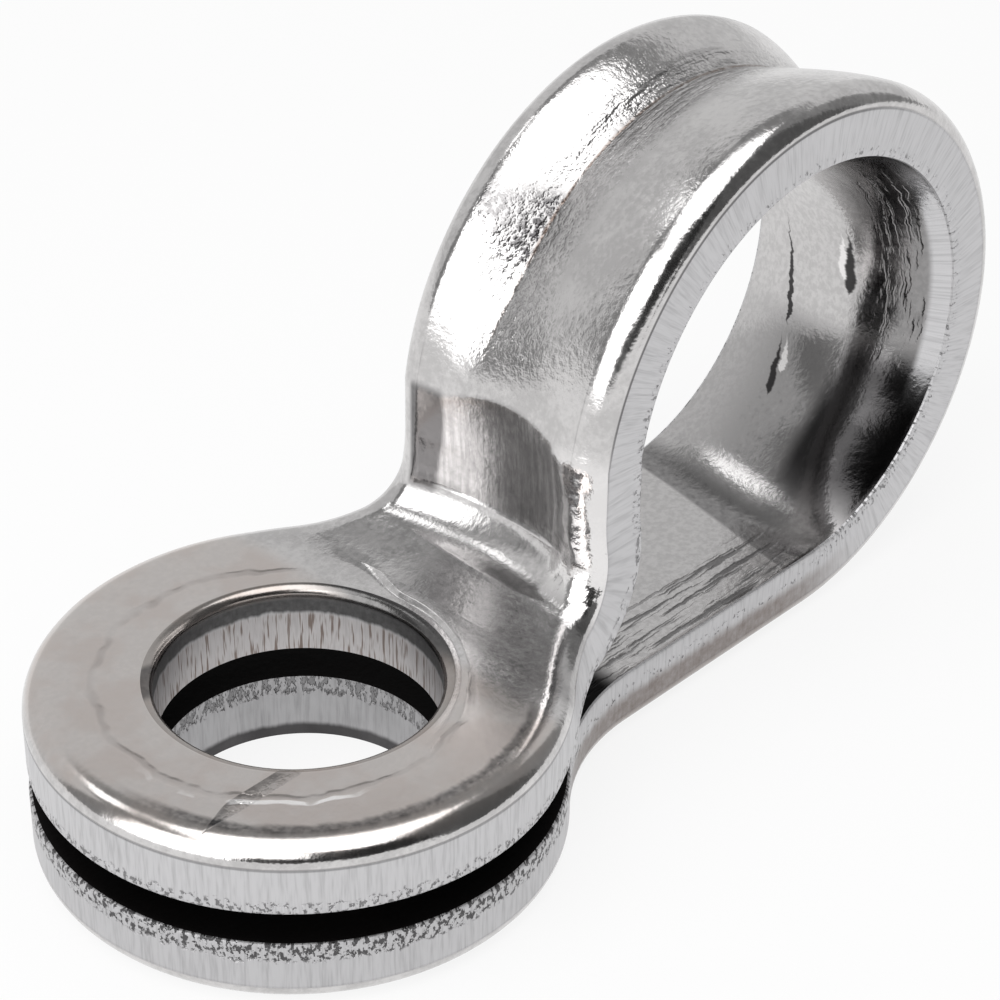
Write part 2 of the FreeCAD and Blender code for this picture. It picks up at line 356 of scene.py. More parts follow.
class Body:
    """Works out the surfaces of the folded strip."""

    def __init__(self, s):
        self.s = s
        self.strip = Strip(s)
        self.sheet = Sheet()
        self.across = np.linspace(-1.0, 1.0, ACROSS + 1)

    def channel(self, run, y, crest):
        """Depth of the outer side across the strip: the channel with its crease, fading at both ends."""
        s, strip = self.s, self.strip
        out = smooth((run - strip.leg_run) / s.run_out)
        into = smooth((strip.loop_end - run) / s.run_in)
        on_loop = run >= strip.leg_run
        crease_y = s.crease_y * into
        deep = np.where(on_loop, mixed(LEG_GROOVE, s.groove, out) * into, LEG_GROOVE)
        side = np.where(y < crease_y, (y + crest) / (crease_y + crest), (crest - y) / (crest - crease_y))
        side = np.clip(side, 0.0, 1.0)
        # a cubic curve from crest to crease, fuller in the leg than on the loop
        first = mixed(2.0 / 3.0, 0.12, out)
        second = mixed(1.0, 0.62, out)
        curve = 3.0 * side * (1 - side) ** 2 * first + 3.0 * side ** 2 * (1 - side) * second + side ** 3
        return deep * curve, y - crease_y

    def outside(self, run, x, z, heading, y, crest):
        """Depth of the outer side with the round punch's hollow, distance from the crease, and share
        of the punch's mark."""
        s, strip = self.s, self.strip
        deep, crease = self.channel(run, y, crest)
        side = np.clip(1.0 - (y / crest) ** 2, 0.0, 1.0)
        hollow = (s.punch_r - s.leg_x) * side * np.sin(heading)
        fold = run < strip.leg_run
        below = smooth((strip.bend_run + HOLLOW_FADE - run) / HOLLOW_FADE)
        deep = np.where(fold, np.maximum(hollow * below, deep * np.clip(np.sin(heading), 0.0, 1.0)), deep)
        wall = np.sqrt(np.maximum(s.punch_r ** 2 - y ** 2, 0.0))
        wall -= PUNCH_LEAN * np.maximum(z - PUNCH_LEAN_Z, 0.0)
        reach = (wall - x) / np.maximum(np.sin(heading), 0.3)
        pressed = (run > strip.bend_run - 0.2) & (run < strip.leg_run + PUNCH_REACH)
        edge = smooth((crest - np.abs(y)) / 0.12)
        punch = np.where(pressed, reach * edge, 0.0)
        cut = punch - deep
        return np.where(cut > 0.0, punch, deep), crease, np.where(pressed, smooth(cut / 0.1 + 0.5), 0.0)

    def seat(self, x, y, z):
        """Height of the upper face once the flat round the hole is pressed into it. The flat fades out
        soon on the far side, and further round on the near side."""
        s = self.s
        bearing = np.arctan2(y, x)
        beyond = smooth((bearing - 0.25) / 0.8)
        aside = np.maximum(smooth((np.abs(bearing) - 0.9) / 1.4), beyond)
        reach = s.seat_r + 0.6 * smooth((bearing - 0.1) / 0.45) + 0.6 * aside
        soft = 0.12 + 0.14 * smooth((bearing - 0.1) / 0.3) + 0.9 * aside
        inside = (1.0 - smooth((np.hypot(x, y) - reach) / soft + 0.5)) * (1.0 - beyond)
        return mixed(z, np.minimum(z, self.strip.ring_top - s.seat_deep * (1.0 - aside)), inside)

    def headings(self, runs):
        """Points of the outer line and the headings of the sections, fanned evenly through the kink."""
        placed = np.array([self.strip.walk(run) for run in runs])
        start = self.strip.leg_run - KINK
        near = (runs > start) & (runs < start + 2.0 * KINK)
        low = self.strip.walk(start)[2]
        high = self.strip.walk(start + 2.0 * KINK)[2]
        share = (runs - start) / (2.0 * KINK)
        placed[:, 2] = np.where(near, mixed(low, high, share), placed[:, 2])
        return placed

    def strip_grid(self):
        """The strip from the upper ring's flat over fold and loop to the lower ring."""
        s, strip = self.s, self.strip
        runs = strip.runs()
        placed = self.headings(runs)
        run = runs[:, None]
        x, z, heading = placed[:, 0:1], placed[:, 1:2], placed[:, 2:3]
        crest = strip.half(run, s.edge_roll)
        half = strip.half(run, 0.0)
        profile = edge_profile(s)
        y_out = crest * self.across
        deep_out, crease, punched = self.outside(run, x, z, heading, y_out, crest)
        into = smooth((strip.loop_end - run) / s.run_in)
        out = smooth((run - strip.leg_run) / s.run_out)
        crown = s.crown * into * out
        y_in = (half - s.lip) * self.across[::-1]
        # the crown's ridge moves to the near side on its way round the loop
        ridge = -(0.5 * smooth((run - 20.0) / 6.0) + 0.8 * smooth((run - 28.0) / 9.0))
        edge = half - s.lip
        share = np.where(y_in < ridge, (y_in + edge) / (ridge + edge), (edge - y_in) / (edge - ridge))
        deep_in = s.sheet + crown * (1.0 - (1.0 - share) ** 2)
        columns_y, columns_d, kinds = [], [], []

        def add(y, depth, kind):
            columns_y.append(y * np.ones_like(run))
            columns_d.append(depth * np.ones_like(run))
            kinds.append(kind)

        for number in range(ACROSS + 1):
            add(y_out[:, number:number + 1], deep_out[:, number:number + 1], PRESSED)
        for inset, depth, kind in profile:
            add(strip.half(run, inset), depth, kind)
        for number in range(ACROSS + 1):
            add(y_in[:, number:number + 1], deep_in[:, number:number + 1], INNER)
        for inset, depth, kind in profile[::-1]:
            add(-strip.half(run, inset), depth, kind)
        y = np.concatenate(columns_y, axis=1)
        depth = np.concatenate(columns_d, axis=1)
        depth += SKIN * into * out * (depth < s.sheet / 2.0)
        points = np.stack([x + np.sin(heading) * depth, y, z - np.cos(heading) * depth], axis=-1)
        upper = (run < strip.bend_run) & (depth < s.sheet / 2.0)
        seated = self.seat(points[..., 0], points[..., 1], points[..., 2])
        points[..., 2] = np.where(upper, seated, points[..., 2])
        place = np.stack([run * np.ones_like(y), y, depth], axis=-1)
        zone = np.broadcast_to(np.array(kinds), points.shape).copy()
        mark = np.zeros_like(points)
        mark[..., 0] = NO_CREASE
        mark[:, :ACROSS + 1, 0] = crease
        mark[:, :ACROSS + 1, 1] = punched
        mark[..., 2] = np.maximum(into * out, 0.0) * np.ones_like(y)
        self.sheet.grid(points, (place, zone, mark), closed=True)

    def lobe(self, upper):
        """One pierced ring: its face, rounded edge, sheared edge, inner face and hole."""
        s, strip = self.s, self.strip
        start = math.acos(JOIN_X / s.ring_r)
        turn = np.linspace(start, 2.0 * math.pi - start, ARC_STEPS + 1)
        along_ring = JOIN_X - s.ring_r * (math.pi - np.abs(turn - math.pi) - start)

        def outline(inset):
            """Plan of the ring's outline at an inset, from one side of the strip round to the other."""
            x = s.ring_r * np.cos(turn)
            x = JOIN_X - (JOIN_X - x) * (JOIN_X + s.ring_r - inset) / (JOIN_X + s.ring_r)
            x[ARC_STEPS // 2] = inset - s.ring_r
            y = strip.half(x, inset) * np.sign(math.pi - turn)
            return np.stack([x, y], axis=-1)

        def bent(run, depth):
            """Place of a point of the upper ring: beyond its flat it follows the ease."""
            if not upper:
                return run, depth * np.ones_like(run)
            swing = np.maximum(run - s.flat_x, 0.0) / s.ease_r
            reach = s.ease_r + depth
            return (np.minimum(run, s.flat_x) + reach * np.sin(swing),
                    strip.ring_top + s.ease_r - np.where(swing > 0.0, reach * np.cos(swing), reach))

        def unbent(x, depth):
            """Distance along the strip of a point of the upper ring."""
            if not upper:
                return x
            lean = np.clip((x - s.flat_x) / (s.ease_r + depth), 0.0, 1.0)
            return np.minimum(x, s.flat_x) + s.ease_r * np.arcsin(lean)

        def lay(run, y, depth, kind, along=None, closed=True):
            """Add a surface of the ring to the sheet."""
            x, z = bent(run, depth)
            if upper:
                z = np.where(depth < s.sheet / 2.0, self.seat(x, y, z), z)
            along = run if along is None else along
            if not upper:
                along = strip.length - along
            place = np.stack([along, y, depth], axis=-1)
            mark = np.zeros(y.shape + (3,))
            mark[..., 0] = NO_CREASE
            self.sheet.grid(np.stack([x, y, z], axis=-1), (place, kind, mark), closed=closed)

        def face(inset, hole_r, steps, depth, kind):
            """The flat between hole and ring's edge at a depth; gives the bearings of its points."""
            edge = outline(inset)[1:-1]
            end = strip.half(np.array(JOIN_X), inset) * self.across
            outer = np.concatenate([np.stack([np.full(ACROSS + 1, JOIN_X), end], axis=-1), edge])
            angle = np.arctan2(outer[:, 1], outer[:, 0])
            inner = hole_r * np.stack([np.cos(angle), np.sin(angle)], axis=-1)
            rim = np.stack([unbent(inner[:, 0], depth), inner[:, 1]], axis=-1)
            share = np.linspace(0.0, 1.0, steps + 1)[:, None, None]
            plan = rim * (1.0 - share) + outer * share
            down = np.full(plan.shape[:2], depth)
            lay(plan[..., 0], plan[..., 1], down, np.broadcast_to(np.array(kind), plan.shape[:2] + (3,)))
            return angle

        rim_r = s.hole_r + s.hole_roll if upper else s.hole_r
        angle_top = face(s.edge_roll, rim_r, FACE_STEPS, 0.0, PRESSED)
        angle_low = face(s.lip, s.hole_r, INNER_STEPS, s.sheet, INNER)

        # the band round the ring, from the crest over the rounded edge and down the sheared face
        profile = edge_profile(s)
        plan = np.array([outline(inset) for inset, depth, kind in profile])
        down = np.array([[depth] * (ARC_STEPS + 1) for inset, depth, kind in profile])
        kinds = np.array([[kind] * (ARC_STEPS + 1) for inset, depth, kind in profile])
        lay(plan[..., 0], plan[..., 1], down, kinds, np.broadcast_to(along_ring, down.shape), closed=False)

        # the hole: its rounded rim above and its wall, straight down through both rings
        if upper:
            rim = list(zip(*roll_profile(s.hole_roll, s.hole_roll * 0.9, RIM_STEPS)))
            edge_x, edge_y = rim_r * np.cos(angle_top), rim_r * np.sin(angle_top)
            high = self.seat(edge_x, edge_y, bent(unbent(edge_x, 0.0), 0.0)[1])
        else:
            rim = [(0.0, 0.0)]
            high = np.zeros(len(angle_top))
        rim_low = rim[-1][1]
        share = np.linspace(0.0, 1.0, WALL_STEPS + 1)[1:]
        foot = s.hole_r * np.cos(angle_low)
        low = bent(unbent(foot, s.sheet), s.sheet)[1]
        way = -1.0 if upper else 1.0
        rows = []
        for inset, depth in rim:
            radius = s.hole_r + inset
            rows.append(np.stack([radius * np.cos(angle_top), radius * np.sin(angle_top),
                                  high + way * depth], axis=-1))
        swing = (angle_low - angle_top + math.pi) % (2.0 * math.pi) - math.pi
        for part in share:
            angle = angle_top + part * swing
            z = (high + way * rim_low) * (1.0 - part) + low * part
            rows.append(np.stack([s.hole_r * np.cos(angle), s.hole_r * np.sin(angle), z], axis=-1))
        points = np.array(rows)
        depth = (high - points[..., 2]) * -way
        round_hole = s.hole_r * np.arctan2(points[..., 1], points[..., 0])
        place = np.stack([round_hole, points[..., 1], depth], axis=-1)
        zone = np.zeros_like(points)
        zone[..., 0] = (depth > rim_low + 0.02).astype(float) if upper else 1.0
        mark = np.zeros_like(points)
        mark[..., 0] = NO_CREASE
        mark[..., 1] = UPPER_HOLE if upper else LOWER_HOLE
        self.sheet.grid(points, (place, zone, mark), closed=True)

    def mesh(self):
        self.strip_grid()
        self.lobe(True)
        self.lobe(False)
        return self.sheet.mesh("lacing_eye_strip")


# ---------------------------------------------------------------- finish


class Signal:
    """A value in a shader; sums, products and so on of it add Math nodes."""

    def __init__(self, shader, socket):
        self.shader = shader
        self.socket = socket

    def math(self, operation, *others, clamp=False):
        inputs = {0: self}
        inputs.update(enumerate(others, 1))
        return self.shader.add("ShaderNodeMath", {"operation": operation, "use_clamp": clamp}, inputs)

    def __add__(self, other):
        return self.math("ADD", other)

    def __sub__(self, other):
        return self.math("SUBTRACT", other)

    def __rsub__(self, other):
        return self.shader.add("ShaderNodeMath", {"operation": "SUBTRACT"}, {0: other, 1: self})

    def __mul__(self, other):
        return self.math("MULTIPLY", other)

    def __truediv__(self, other):
        return self.math("DIVIDE", other)

    def __abs__(self):
        return self.math("ABSOLUTE")

    __radd__ = __add__
    __rmul__ = __mul__

    def kept(self):
        """Held between 0 and 1."""
        return self.math("ADD", 0.0, clamp=True)

    def ramp(self, low, high):
        """Goes smoothly from 0 to 1 as the value goes from low to high; low may be the larger."""
        return self.shader.add("ShaderNodeMapRange", {"interpolation_type": "SMOOTHSTEP"},
                               {0: self, 1: low, 2: high, 3: 0.0, 4: 1.0})

    def within(self, rise, fall):
        """1 between a soft rise and a soft fall, each given as where it starts and ends."""
        return self.ramp(*rise) * self.ramp(fall[1], fall[0])

    def line(self, thin, wide):
        """1 near 0 and fading out on both sides between two distances."""
        return abs(self).ramp(wide, thin)


class Shader:
    """A material's nodes."""

    def __init__(self, tree):
        self.tree = tree
        tree.nodes.clear()

    def node(self, kind, settings=None, inputs=None):
        made = self.tree.nodes.new(kind)
        for name, value in (settings or {}).items():
            setattr(made, name, value)
        for name, value in (inputs or {}).items():
            socket = made.inputs[name]
            if isinstance(value, Signal):
                self.tree.links.new(value.socket, socket)
            else:
                socket.default_value = value
        return made

    def add(self, kind, settings=None, inputs=None, output=0):
        return Signal(self, self.node(kind, settings, inputs).outputs[output])

    def attribute(self, name):
        return self.add("ShaderNodeAttribute", {"attribute_name": name}, output="Vector")

    def parts(self, vector):
        made = self.node("ShaderNodeSeparateXYZ", None, {0: vector})
        return [Signal(self, made.outputs[number]) for number in range(3)]

    def joined(self, x, y, z):
        return self.add("ShaderNodeCombineXYZ", None, {0: x, 1: y, 2: z})

    def noise(self, vector, scale, detail, roughness):
        return self.add("ShaderNodeTexNoise", {"noise_dimensions": "3D"},
                        {"Vector": vector, "Scale": scale, "Detail": detail, "Roughness": roughness})

    def mix(self, share, first, second):
        return self.add("ShaderNodeMix", {"data_type": "RGBA", "clamp_factor": True},
                        {0: share, 6: first, 7: second}, output=2)


def rgba(colour):
    return (colour[0], colour[1], colour[2], 1.0)


def steel_material(finish, strip):
    """Pressed and tumbled stainless: satin faces, streaked sheared edges, pitted where the metal tore, with
    painted shade, painted dark reflections and painted highlights in places.

    Places on it are in millimetres. Along the strip the run is 0 at the upper ring's axis, 5.8 above the
    bend, 7.7 where the loop begins, 36.4 where it ends on the foot and 48.8 at the lower ring's axis;
    the side is 0 in the middle and the depth 0 on the outer face. bx, by and bz are measured from the
    hole's axis and the underside.
    """
    material = bpy.data.materials.new("stainless_steel_finish")
    material.use_nodes = True
    shader = Shader(material.node_tree)
    run, side, depth = shader.parts(shader.attribute("place"))
    land, inside, roll = shader.parts(shader.attribute("zone"))
    crease, punched, channel = shader.parts(shader.attribute("mark"))
    body = shader.add("ShaderNodeTexCoord", None, None, output="Object")
    body_mm = shader.add("ShaderNodeVectorMath", {"operation": "SCALE"}, {0: body, "Scale": 1.0 / MM})
    bx, by, bz = shader.parts(body_mm)
    hand = side.math("SIGN")
    near = 0.0 - side
    outer = (1.0 - land) * (1.0 - inside)
    in_hole = punched.ramp(UPPER_HOLE + 0.8, UPPER_HOLE + 0.2)
    low_hole = punched.ramp(LOWER_HOLE + 0.8, LOWER_HOLE + 0.2)
    high_hole = in_hole * (1.0 - low_hole)
    steel, torn_and_shade, scratch_and_shade = finish.steel, finish.torn_and_shade, finish.scratch_and_shade

    def tinted(colour, share):
        return rgba([min(1.0, value * share) for value in colour])

    # the noises: broad patches, fine grain, streaks down the sheared edge, its ragged line and specks,
    # lines drawn along the strip, and lines the punch drew down the leg
    patches = shader.noise(body_mm, 0.9, 2.0, 0.6)
    grain = shader.noise(body_mm, 7.0, 2.0, 0.65)
    streak = shader.noise(shader.joined(run * 12.0, hand * 7.0, depth * 0.85), 1.0, 2.0, 0.75)
    ragged = shader.noise(shader.joined(run * 2.0, hand * 5.0, 0.0), 1.0, 3.0, 0.7)
    speck_tall = 6.5 - low_hole * 3.0
    speck = shader.noise(shader.joined(run * 9.0, hand * 9.0, depth * speck_tall), 1.0, 2.0, 0.7)
    lines = shader.noise(shader.joined(run * 0.4, side * 5.0 + ragged, 1.0), 1.0, 2.0, 0.7)
    drag = shader.noise(shader.joined(side * 9.0, bz * 0.7, 0.0), 1.0, 2.0, 0.75)

    # ground colours of pressed faces, inner face and sheared edge
    mottle = (patches * 0.55 + grain * 0.45).ramp(0.38, 0.62)
    pressed = shader.mix(mottle, tinted(steel, 0.86), tinted(steel, 1.06))
    inner = shader.mix(grain.ramp(0.35, 0.65), tinted(steel, 0.82), tinted(steel, 0.97))
    edge = shader.mix(streak.ramp(0.25, 0.6), tinted(finish.land, 0.80), tinted(finish.land, 1.03))
    colour = shader.mix(land, shader.mix(inside, pressed, inner), edge)

    def paint(share, tone):
        nonlocal colour
        colour = shader.mix(share, colour, tone)

    # the sheared edge is darker along the foot, with a brown band low on it that is partly a painted dark
    # reflection, and it is pitted where it tore, most on the lower ring
    foot = run.within((34.0, 37.5), (44.0, 46.0))
    foot_low = foot * (depth + (ragged - 0.5) * 0.3).ramp(1.05, 0.75) * (0.4 + grain * 0.5)
    paint((run.ramp(33.0, 37.0) * 0.09 + 0.03) * land * (1.0 - in_hole), rgba(torn_and_shade))
    paint(foot_low * (land + roll).kept() * (1.0 - inside), tinted(scratch_and_shade, 0.5))
    tear = (run.ramp(42.5, 46.0) * 0.6 + run.ramp(30.0, 37.0) * 0.2 + run.ramp(6.0, 4.0) * 0.2
            + 0.15 + low_hole).kept()
    below_tear = depth - (1.26 - tear * 0.21 - foot * 0.24 + (ragged - 0.5) * 0.5)
    tear_zone = below_tear.ramp(-0.06, 0.06) * (1.0 - foot * below_tear.ramp(0.14, 0.26)) * land
    on_loop = run.within((8.0, 12.0), (29.0, 33.0))
    rare = foot * 0.06 - tear * 0.05 + on_loop * 0.05 + high_hole * 0.2
    pits = speck.ramp(rare + 0.54, rare + 0.62) * tear_zone * (0.55 + tear * 0.45)
    paint(pits * (0.95 - low_hole * 0.5), tinted(torn_and_shade, 0.8))

    # inner face: painted shade towards the foot, ending in a crisp line where the foot begins
    shade = run.within((28.6, 29.8), (34.3, 35.3)) * (1.0 - side.ramp(0.4, 2.4) * 0.75) * 0.6
    foot_line = run + side * 0.2
    foot_shade = foot_line.within((35.2, 36.0), (36.6, 36.72)) * 0.8
    paint((shade + foot_shade) * inside * (0.2 + grain * 1.1), rgba(torn_and_shade))

    # its near half carries a painted dark reflection, nearly black where the loop tightens, with drawn
    # lines beside the edge
    beside = near.ramp(1.0, 1.4) * inside
    brink = near.ramp(2.15, 2.3) * inside * run.within((17.0, 20.0), (29.0, 31.0))
    round_loop = run.within((20.0, 23.0), (28.5, 30.0))
    on_foot = run.within((36.2, 37.2), (43.0, 45.0))
    drawn = lines.ramp(0.5, 0.62) * (round_loop * 0.6 + on_foot).kept() * beside * (1.0 - brink)
    near_half_dark_reflection = near.ramp(0.4, 1.3) * inside * run.within((18.0, 22.0), (35.0, 36.6))
    deep_loop_dark_reflection = near.ramp(0.45, 0.95) * run.within((28.6, 30.2), (33.6, 35.4)) * inside
    paint(drawn * 0.75, rgba(torn_and_shade))
    paint(near_half_dark_reflection * 0.55, rgba(torn_and_shade))
    paint(deep_loop_dark_reflection * 0.92, tinted(torn_and_shade, 0.35))
    colour = shader.mix(brink, colour, edge)

    def crack(start, end, width):
        """A short crack in the inner face between two places, each given as its run and side."""
        share = (run - start[0]) / (end[0] - start[0])
        line = share * (end[1] - start[1]) + start[1] + (ragged - 0.5) * 0.35
        reach = share.within((-0.1, 0.75), (0.85, 1.02)) * width
        return (reach - abs(side - line)).ramp(0.0, width * 0.45) * inside

    flake_highlights = crack((25.2, -0.22), (27.4, -0.30), 0.15) + crack((30.0, 0.86), (31.4, 0.56), 0.13)
    cracks = (crack((25.6, 1.62), (29.9, 0.95), 0.10) + crack((24.8, -0.42), (27.9, -0.5), 0.18)
              + crack((29.9, 1.05), (32.3, 0.62), 0.13)).kept()
    # flakes beside the cracks get a painted highlight; the cracks are painted near black
    paint(flake_highlights * 0.8, tinted(steel, 1.5))
    paint(cracks * 0.95, tinted(torn_and_shade, 0.3))

    # wall of the upper hole: a painted dark reflection in a band above brown scratches; the lower hole's
    # wall is painted darker, most in a ragged band at its bottom
    band = high_hole * (depth + (ragged - 0.5) * 0.25).ramp(0.60, 0.50)
    scored = high_hole * depth.ramp(0.5, 0.65)
    scratches = streak.ramp(0.5, 0.62) * scored
    paint(scored * 0.12, tinted(scratch_and_shade, 1.6))
    paint(scratches * 0.85, tinted(scratch_and_shade, 0.6))
    paint(band * (0.8 + grain * 0.2), tinted(steel, 0.11))
    foot_band = low_hole * (depth + (ragged - 0.5) * 0.15).ramp(0.34, 0.2)
    paint(low_hole * (0.28 + patches * 0.2) + foot_band * 0.6, tinted(torn_and_shade, 0.8))

    # painted shade and dark reflection: the fine dark line between rounded and sheared edge, deepest beside
    # the loop
    seam_loop = run.within((6.5, 9.0), (17.0, 22.0))
    seam_shade = (depth - 0.43).line(0.012, 0.05) * (land + roll).kept() * (1.0 - in_hole)
    seam_shade = seam_shade * (0.15 + seam_loop * 0.85 + run.ramp(6.0, 3.0) * 0.5).kept()
    paint(seam_shade * 0.8, rgba(torn_and_shade))

    # the channel: ripples drawn round its top, peel beside the crease, and a dull peeled spot on the far
    # flank painted dark as a break in its highlight
    drawn_top = run.within((13.0, 15.0), (19.0, 22.0)) * (crease + 0.2).line(0.5, 1.0) * outer
    paint(lines.ramp(0.5, 0.62) * drawn_top * 0.35, rgba(torn_and_shade))
    beside_crease = (crease + 0.35).line(0.4, 1.1)
    highlight_break_half = 0.95 - side.ramp(0.7, 2.2) * 0.55
    dull_spot_and_highlight_break = (highlight_break_half - abs(run - 11.9 + (grain - 0.5) * 1.3)).ramp(-0.2, 0.35) * side.ramp(0.6, 0.8)
    flank = channel.ramp(0.1, 0.5) * outer * (1.0 - roll)
    peel_zone = flank * (0.25 + (beside_crease * 0.6 + dull_spot_and_highlight_break * 0.5).kept())
    peel = grain.ramp(0.42, 0.6) * (beside_crease * 0.3 + dull_spot_and_highlight_break * 0.25)
    paint((peel + dull_spot_and_highlight_break * 0.5).kept() * flank, rgba(torn_and_shade))
    # the crease is painted as a dark brown line: painted shade in the fold
    wander = (ragged - 0.5) * 0.10
    fold = (crease + wander).line(0.0, 0.06) * channel.ramp(0.15, 0.5) * outer
    fold = fold * (0.35 + 0.65 * ragged.ramp(0.36, 0.56)) * (0.55 + 0.45 * run.ramp(10.0, 12.0))
    paint(fold * 0.9, tinted(scratch_and_shade, 0.5))

    # the upper ring's face is warmer; a slipped tool left a shallow slanting step and a faint arc on it; a
    # painted dark reflection follows its front rim, and painted highlights glint along the arc
    face = outer * bz.ramp(3.3, 3.5) * bx.ramp(2.6, 2.0)
    paint(face * 0.5, rgba([value * tint for value, tint in zip(steel, (1.06, 1.0, 0.95))]))
    blotch = patches.ramp(0.38, 0.6) * 0.14 + (patches * 0.6 + grain * 0.4).ramp(0.42, 0.64) * 0.12
    paint(face * blotch, tinted(scratch_and_shade, 1.2))
    behind = 0.0 - bx
    taper = behind.ramp(3.4, 4.45)
    above = -1.86 - taper * 0.28 - by
    step = above.ramp(-0.01, 0.02) * (above + taper * 0.34).ramp(0.37, 0.34)
    step = step * behind.within((1.9, 2.1), (4.35, 4.42)) * face
    step = step * (1.0 - above.ramp(0.05, 0.4) * 0.6) * (0.7 + 0.3 * grain.ramp(0.4, 0.6))
    arc_off = ((bx + 0.3) * (bx + 0.3) + (by - 0.1) * (by - 0.1)).math("SQRT") - 3.6 + (patches - 0.5) * 0.6
    arc = arc_off.line(0.02, 0.12) * face * patches.ramp(0.3, 0.75)
    from_axis = (bx * bx + by * by).math("SQRT")
    to_front = (0.3 - by).ramp(0.0, 2.0) * face
    rim_dark_reflection = (from_axis - 4.57 + (ragged - 0.5) * 0.3).line(0.02, 0.17) * to_front
    glints = (arc_off - 0.16).line(0.03, 0.08) * to_front * (-1.4 - bx).ramp(0.0, 0.7)
    glints = glints * patches.ramp(0.45, 0.52)
    paint(step * 0.5 + arc * 0.25 + rim_dark_reflection * (0.25 + grain * 0.9), rgba(torn_and_shade))
    # painted highlights
    paint(glints, tinted(steel, 1.6))

    # the punch coined the slope beside the hole, which is painted darker, partly as a painted dark
    # reflection; it drew fine lines down the leg, where the hollow carries painted dark reflections, a
    # strip of them on its far side; and it battered its near edge, which carries a painted highlight
    coined_and_dark_reflection = from_axis.ramp(3.2, 3.35) * run.within((2.6, 3.1), (4.7, 5.1)) * by.ramp(1.3, 0.3)
    hollow = punched.ramp(0.1, 0.6) * outer
    strip_near = side - (7.3 - run).ramp(0.0, 1.8) * 0.2
    far_dark_reflection = strip_near.ramp(1.35, 1.55) * side.ramp(2.3, 2.15)
    far_dark_reflection = far_dark_reflection * run.within((5.35, 5.6), (7.7, 7.95))
    drag_marks_and_dark_reflection = (drag.ramp(0.3, 0.7) * 0.30 + (0.6 - side).ramp(0.0, 0.5) * 0.12 + 0.12) * hollow
    paint(coined_and_dark_reflection * outer * 0.34, rgba(torn_and_shade))
    paint((drag_marks_and_dark_reflection + far_dark_reflection * outer * (0.65 + grain * 0.5)).kept() * 0.85, rgba(torn_and_shade))
    battered_highlight = outer * near.ramp(1.45, 1.9) * run.within((4.4, 5.2), (7.6, 8.4))
    paint(battered_highlight * 0.6, tinted(steel, 1.5))

    # painted shade deep in the gap between the rings
    gap_top = run.ramp(6.4, 5.6)
    gap_low = run.ramp(strip.length - 6.6, strip.length - 5.8)
    gap = inside * (gap_top + gap_low).kept()
    paint(gap, rgba(finish.gap_shade))

    rough = (finish.rough + (patches - 0.5) * 0.10 + (grain - 0.5) * 0.08
             + land * (finish.land_rough - finish.rough) - inside * 0.02 - roll * 0.04 + gap * 0.5)
    # heights in millimetres
    rise = 0.006 * outer * (1.0 - face * 0.7) + 0.006 * inside + peel_zone * 0.030 + battered_highlight * 0.006
    height = (grain * rise + patches * battered_highlight * 0.16 + lines * drawn_top * 0.07 - pits * 0.05
              - drawn * 0.02 - step * above * 0.12 - arc * 0.012)
    normal = shader.add("ShaderNodeBump", None, {"Strength": 1.0, "Distance": MM, "Height": height})
    surface = shader.add("ShaderNodeBsdfPrincipled", None,
                         {"Base Color": colour, "Roughness": rough, "Metallic": 1.0, "Normal": normal})
    shader.node("ShaderNodeOutputMaterial", None, {"Surface": surface})
    return material


# ---------------------------------------------------------------- the strip


class LACING_EYE_OT_strip(bpy.types.Operator):
    """Build the folded strip with its pierced rings, channelled loop and stainless finish"""

    bl_idname = "lacing_eye.strip"
    bl_label = "Folded strip"

    def execute(self, context):
        scene = context.scene
        body = Body(in_mm(scene.lacing_eye_sizes))
        mesh = body.mesh()
        mesh.materials.append(steel_material(scene.lacing_eye_finish, body.strip))
        piece = bpy.data.objects.new("lacing_eye_strip", mesh)
        scene.collection.objects.link(piece)
        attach(piece, "root")
        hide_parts(NODE)
        return {"FINISHED"}


# ---------------------------------------------------------------- the stage


# The middle of the part in millimetres, which lamps and flags are set round.
MIDDLE = (6.0, 0.0, 4.0)

# Each flag: bearings and heights it spans in degrees, distance in millimetres, and brightness, where
# 1 is white. The glint is a bright strip behind the part, which its tight bends reflect.
FLAGS = (
    ("flag_back", (-10, 126), (46, 66), 170.0, 0.30),
    ("flag_wall", (-10, 126), (4, 46), 170.0, 0.74),
    ("flag_wall_left", (126, 150), (8, 66), 170.0, 0.28),
    ("flag_glint", (90, 113), (48, 57), 165.0, 2.4),
    ("flag_right", (-85, -35), (-2, 66), 170.0, 0.12),
    ("flag_right_back", (-35, -10), (-2, 66), 170.0, 0.28),
    ("flag_camera", (226, 275), (14, 58), 170.0, 0.03),
    ("flag_camera_left", (195, 226), (12, 32), 170.0, 0.06),
)
FLAG_ROWS = 9
FLAG_COLUMNS = 17

# Each lamp: bearing and height in degrees, size in millimetres, power in watts. All are LAMP_REACH away.
LAMPS = (
    ("left_lamp", 178, 35, 118, 130, 0.106),
    ("shoulder_lamp", 214, 47, 40, 50, 0.012),
    ("top_lamp", -135, 84, 125, 125, 0.085),
)
LAMP_REACH = 140.0

# Half the floor's side in metres, and how far in millimetres it lies below the part.
FLOOR_HALF = 0.4
FLOOR_DROP = 0.02
# Share of plain white in what the camera and reflections see of the floor.
FLOOR_GLOW = 0.85
# Strength of the world's light; the camera and reflections see it white.
WORLD_LIGHT = 0.5
WHITE = (1.0, 1.0, 1.0, 1.0)
# Width in millimetres of the frame that the camera's focal length is for.
FRAME_WIDTH = 36.0


